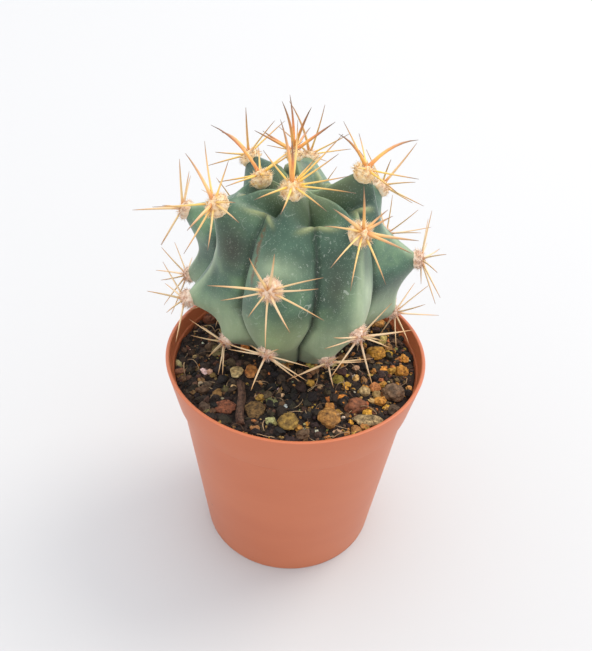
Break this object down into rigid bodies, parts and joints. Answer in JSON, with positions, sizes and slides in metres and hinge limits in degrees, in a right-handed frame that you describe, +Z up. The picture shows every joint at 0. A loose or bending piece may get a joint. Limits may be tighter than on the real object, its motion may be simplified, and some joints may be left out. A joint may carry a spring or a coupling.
{
  "type": "potted round cactus",
  "caption": "Round ribbed cactus with felted areoles and long straw-coloured spines, growing in grit in a small stepped-rim terracotta-coloured plastic nursery pot.",
  "frame": {"origin": "centre of the pot's underside, on the surface it stands on", "axes": "+Z up along the pot's axis, -Y towards the front, +X to the right seen from the front"},
  "size_m": [0.067, 0.0684, 0.0987],
  "materials": {
    "pot_plastic": "satin",
    "potting_soil": "matte",
    "cactus_skin": "satin",
    "felt_and_spines": "matte",
    "grit_stone": "matte",
    "bark": "matte",
    "dry_leaf": "matte"
  },
  "bodies": {
    "root": {"areole_back_1": "felt_and_spines", "areole_back_2": "felt_and_spines", "areole_back_3": "felt_and_spines", "areole_back_4": "felt_and_spines", "areole_back_left_1": "felt_and_spines", "areole_back_left_2": "felt_and_spines", "areole_back_left_3": "felt_and_spines", "areole_back_right_1": "felt_and_spines", "areole_back_right_2": "felt_and_spines", "areole_back_right_3": "felt_and_spines", "areole_front_1": "felt_and_spines", "areole_front_2": "felt_and_spines", "areole_front_3": "felt_and_spines", "areole_front_left_1": "felt_and_spines", "areole_front_left_2": "felt_and_spines", "areole_front_left_3": "felt_and_spines", "areole_front_right_1": "felt_and_spines", "areole_front_right_2": "felt_and_spines", "areole_front_right_3": "felt_and_spines", "areole_left_1": "felt_and_spines", "areole_left_2": "felt_and_spines", "areole_left_3": "felt_and_spines", "areole_left_4": "felt_and_spines", "areole_right_1": "felt_and_spines", "areole_right_2": "felt_and_spines", "areole_right_3": "felt_and_spines", "bark_chip_1": "bark", "bark_chip_2": "bark", "bark_chip_3": "bark", "cactus_stem": "cactus_skin", "grit_stone_1": "grit_stone", "grit_stone_10": "grit_stone", "grit_stone_11": "grit_stone", "grit_stone_12": "grit_stone", "grit_stone_13": "grit_stone", "grit_stone_2": "grit_stone", "grit_stone_3": "grit_stone", "grit_stone_4": "grit_stone", "grit_stone_5": "grit_stone", "grit_stone_6": "grit_stone", "grit_stone_7": "grit_stone", "grit_stone_8": "grit_stone", "grit_stone_9": "grit_stone", "leaf_chip_1": "dry_leaf", "leaf_chip_2": "dry_leaf", "pot": "pot_plastic", "soil": "potting_soil", "twig": "bark"}
  },
  "joints": []
}
